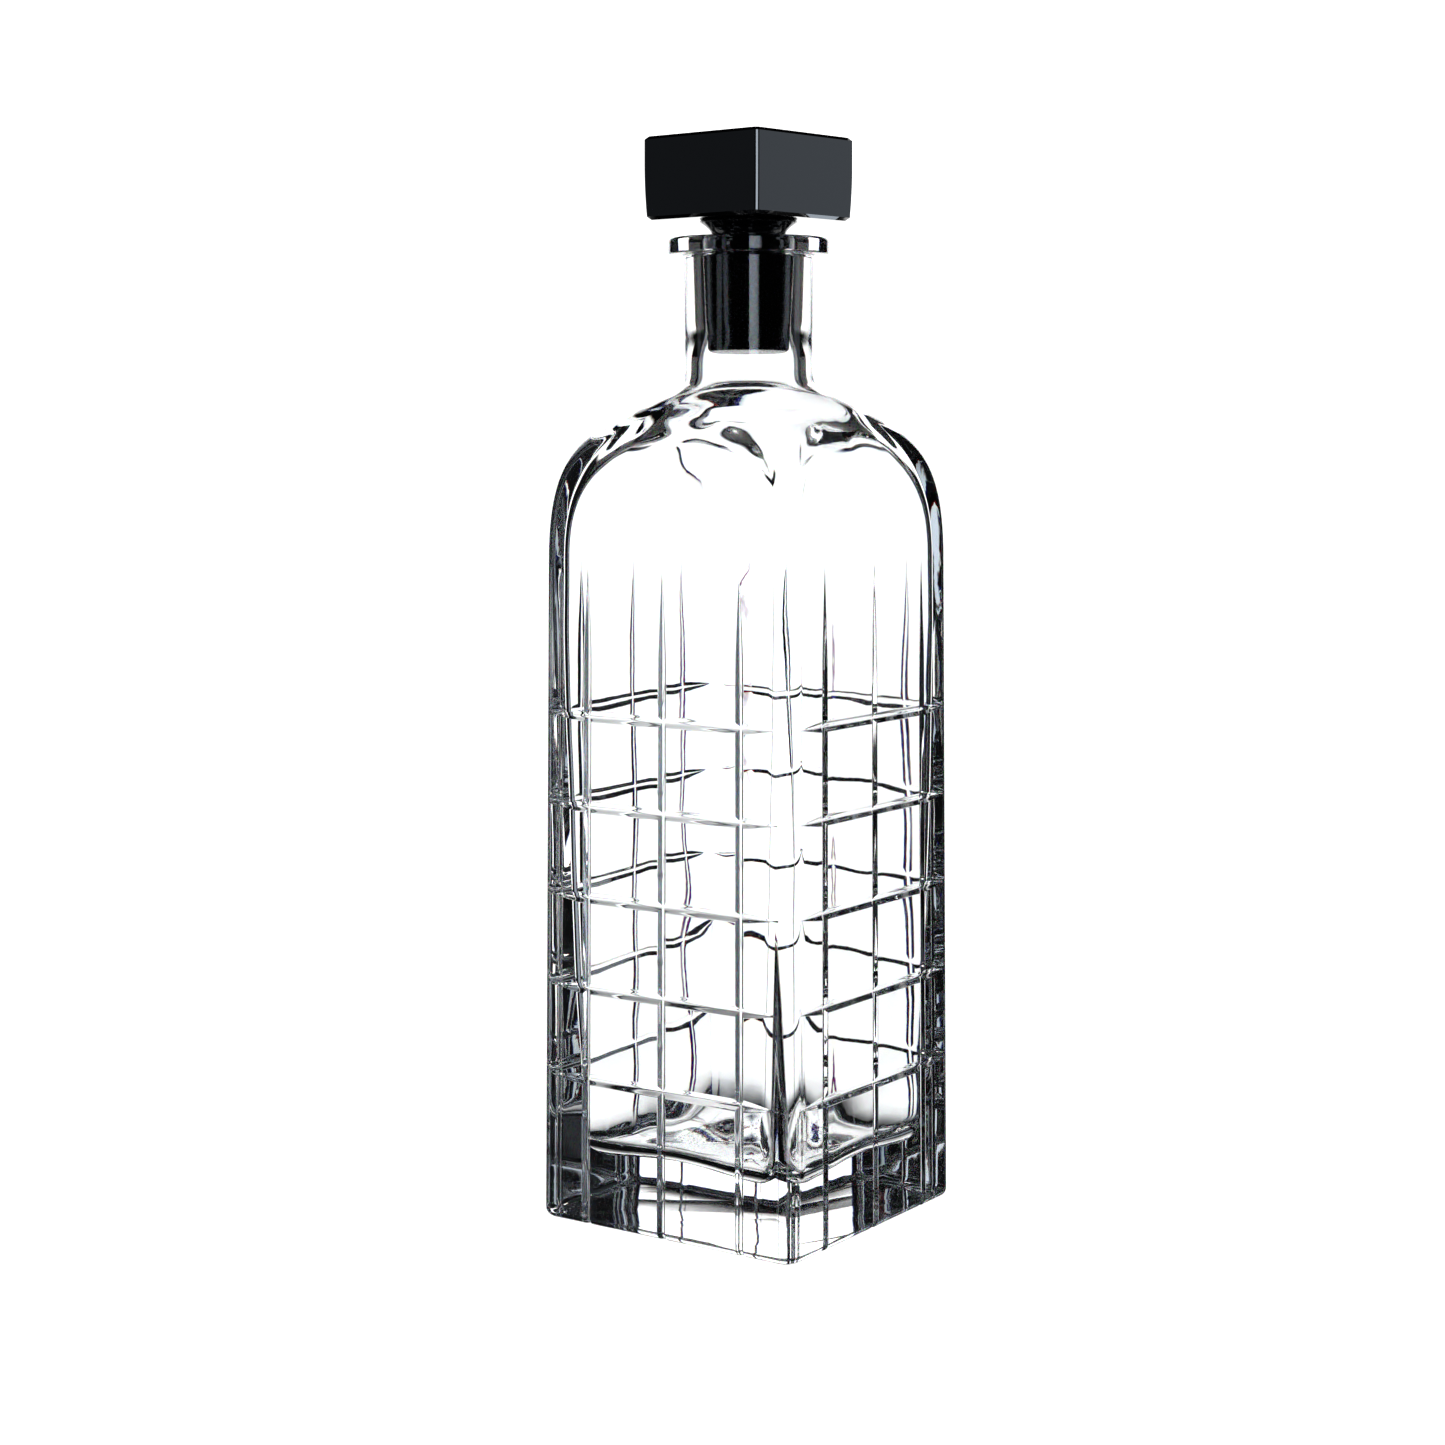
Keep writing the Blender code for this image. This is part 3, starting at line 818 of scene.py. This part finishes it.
def build_floor():
    mesh = bpy.data.meshes.new("floor")
    bm = bmesh.new()
    bmesh.ops.create_circle(bm, cap_ends=True, segments=96, radius=FLOOR_RADIUS)
    bm.to_mesh(mesh)
    bm.free()
    floor = bpy.data.objects.new("floor", mesh)
    floor.location.z = -FLOOR_DROP
    bpy.context.scene.collection.objects.link(floor)
    made = bpy.data.materials.new("floor")
    made.use_nodes = True
    g = Graph(made.node_tree)
    out = g.node("ShaderNodeOutputMaterial")
    light = g.node("ShaderNodeEmission")
    clear = g.node("ShaderNodeBsdfTransparent")
    path = g.node("ShaderNodeLightPath")
    mix = g.node("ShaderNodeMixShader")
    g.put(mix.inputs[0], path.outputs["Is Camera Ray"])
    g.put(mix.inputs[1], clear.outputs[0])
    g.put(mix.inputs[2], light.outputs[0])
    g.put(out.inputs[0], mix.outputs[0])
    mesh.materials.append(made)
    return floor


def soft_box(g, side, rise, side_middle, side_half, rise_middle, rise_half):
    """A lamp's brightness, from 0 to 1: a soft-edged patch round one direction, in degrees."""
    across = g.math("ABSOLUTE", g.math("SUBTRACT", side, side_middle))
    upward = g.math("ABSOLUTE", g.math("SUBTRACT", rise, rise_middle))
    in_width = g.ramp(across, side_half * 1.3, side_half * 0.7)
    in_height = g.ramp(upward, rise_half * 1.3, rise_half * 0.7)
    return g.math("MULTIPLY", in_width, in_height)


def lamps(g, side, rise, places):
    """The brightness of several lamps together."""
    total = 0.0
    for strength, place in places:
        total = g.math("ADD", total, g.math("MULTIPLY", soft_box(g, side, rise, *place), strength))
    return total


def build_world():
    """A white wall of light behind the object and black card before it, whichever way the camera looks."""
    world = bpy.data.worlds.new("studio")
    bpy.context.scene.world = world
    world.use_nodes = True
    g = Graph(world.node_tree)
    out = g.node("ShaderNodeOutputWorld")
    back = g.node("ShaderNodeBackground")
    coords = g.node("ShaderNodeTexCoord")
    turn = g.node("ShaderNodeVectorTransform", vector_type="VECTOR")
    turn.convert_from, turn.convert_to = "WORLD", "CAMERA"
    split = g.node("ShaderNodeSeparateXYZ")
    g.put(turn.inputs[0], coords.outputs["Generated"])
    g.put(split.inputs[0], turn.outputs[0])
    right, up, ahead = split.outputs
    side = g.math("DEGREES", g.math("ARCTAN2", right, ahead))
    rise = g.math("DEGREES", g.math("ARCSINE", up))
    wall = g.ramp(g.math("ABSOLUTE", side), WALL_EDGE, WALL_EDGE - WALL_SOFT)
    wall = g.math("MULTIPLY", wall, g.ramp(rise, WALL_TOP, WALL_TOP_FADES))
    wall = g.math("MULTIPLY", wall, g.ramp(rise, WALL_BOTTOM, WALL_BOTTOM_FADES))
    table = soft_box(g, side, rise, *TABLE_PLACE)
    path = g.node("ShaderNodeLightPath")
    unbent = g.math("LESS_THAN", path.outputs["Transmission Depth"], 0.5)
    blue = lamps(g, side, rise, LAMPS)
    blue = g.math("ADD", blue, g.math("MULTIPLY", lamps(g, side, rise, FRONT_LAMPS), unbent))
    white = g.math("MULTIPLY", wall, WALL_STRENGTH)
    white = g.math("ADD", white, g.math("MULTIPLY", table, TABLE_STRENGTH))
    level = g.math("MAXIMUM", g.math("ADD", white, blue), DARK)
    share = g.math("DIVIDE", blue, level)
    level = g.math("MAXIMUM", level, path.outputs["Is Camera Ray"])
    g.put(back.inputs["Color"], g.mix_color(share, (1.0, 1.0, 1.0), LAMP_COLOR))
    g.put(back.inputs["Strength"], level)
    g.put(out.inputs[0], back.outputs[0])
    return world


def drive_shift(camera):
    """The lens is shifted only while the camera stands in its own place, so other views stay centred."""
    curve = camera.data.driver_add("shift_y")
    driver = curve.driver
    driver.type = "SCRIPTED"
    for axis in "xyz":
        variable = driver.variables.new()
        variable.name = axis
        variable.targets[0].id = camera
        variable.targets[0].data_path = "location." + axis
    x, y, z = camera.location
    driver.expression = f"{LENS_SHIFT} * (abs(x - {x:.4f}) + abs(y - {y:.4f}) + abs(z - {z:.4f}) < 0.001)"


def build_camera():
    data = bpy.data.cameras.new("camera")
    data.lens = LENS
    data.sensor_width = 36
    data.clip_start, data.clip_end = 0.01, 100
    camera = bpy.data.objects.new("camera", data)
    bpy.context.scene.collection.objects.link(camera)
    toward = Vector((-math.sin(CAMERA_AZIMUTH), math.cos(CAMERA_AZIMUTH), 0))
    right = Vector((math.cos(CAMERA_AZIMUTH), math.sin(CAMERA_AZIMUTH), 0))
    camera.location = -toward * CAMERA_DISTANCE - right * OBJECT_OFFSET + Vector((0, 0, CAMERA_HEIGHT))
    camera.rotation_euler = (math.pi / 2, 0, CAMERA_AZIMUTH)
    data.shift_y = LENS_SHIFT
    drive_shift(camera)
    bpy.context.scene.camera = camera
    return camera


scene = bpy.context.scene
scene.view_settings.view_transform = "Standard"
scene.view_settings.look = "Medium High Contrast"
bottle = build_bottle()
bottle.data.materials.append(glass_material())
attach(bottle, "bottle")
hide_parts("bottle")
stopper = build_stopper()
stopper.data.materials.clear()
stopper.data.materials.append(black_material())
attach(stopper, "stopper")
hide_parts("stopper")
build_floor()
build_world()
build_camera()
scene.cycles.max_bounces = BOUNCES
scene.cycles.transmission_bounces = BOUNCES
scene.cycles.glossy_bounces = SHINE_BOUNCES
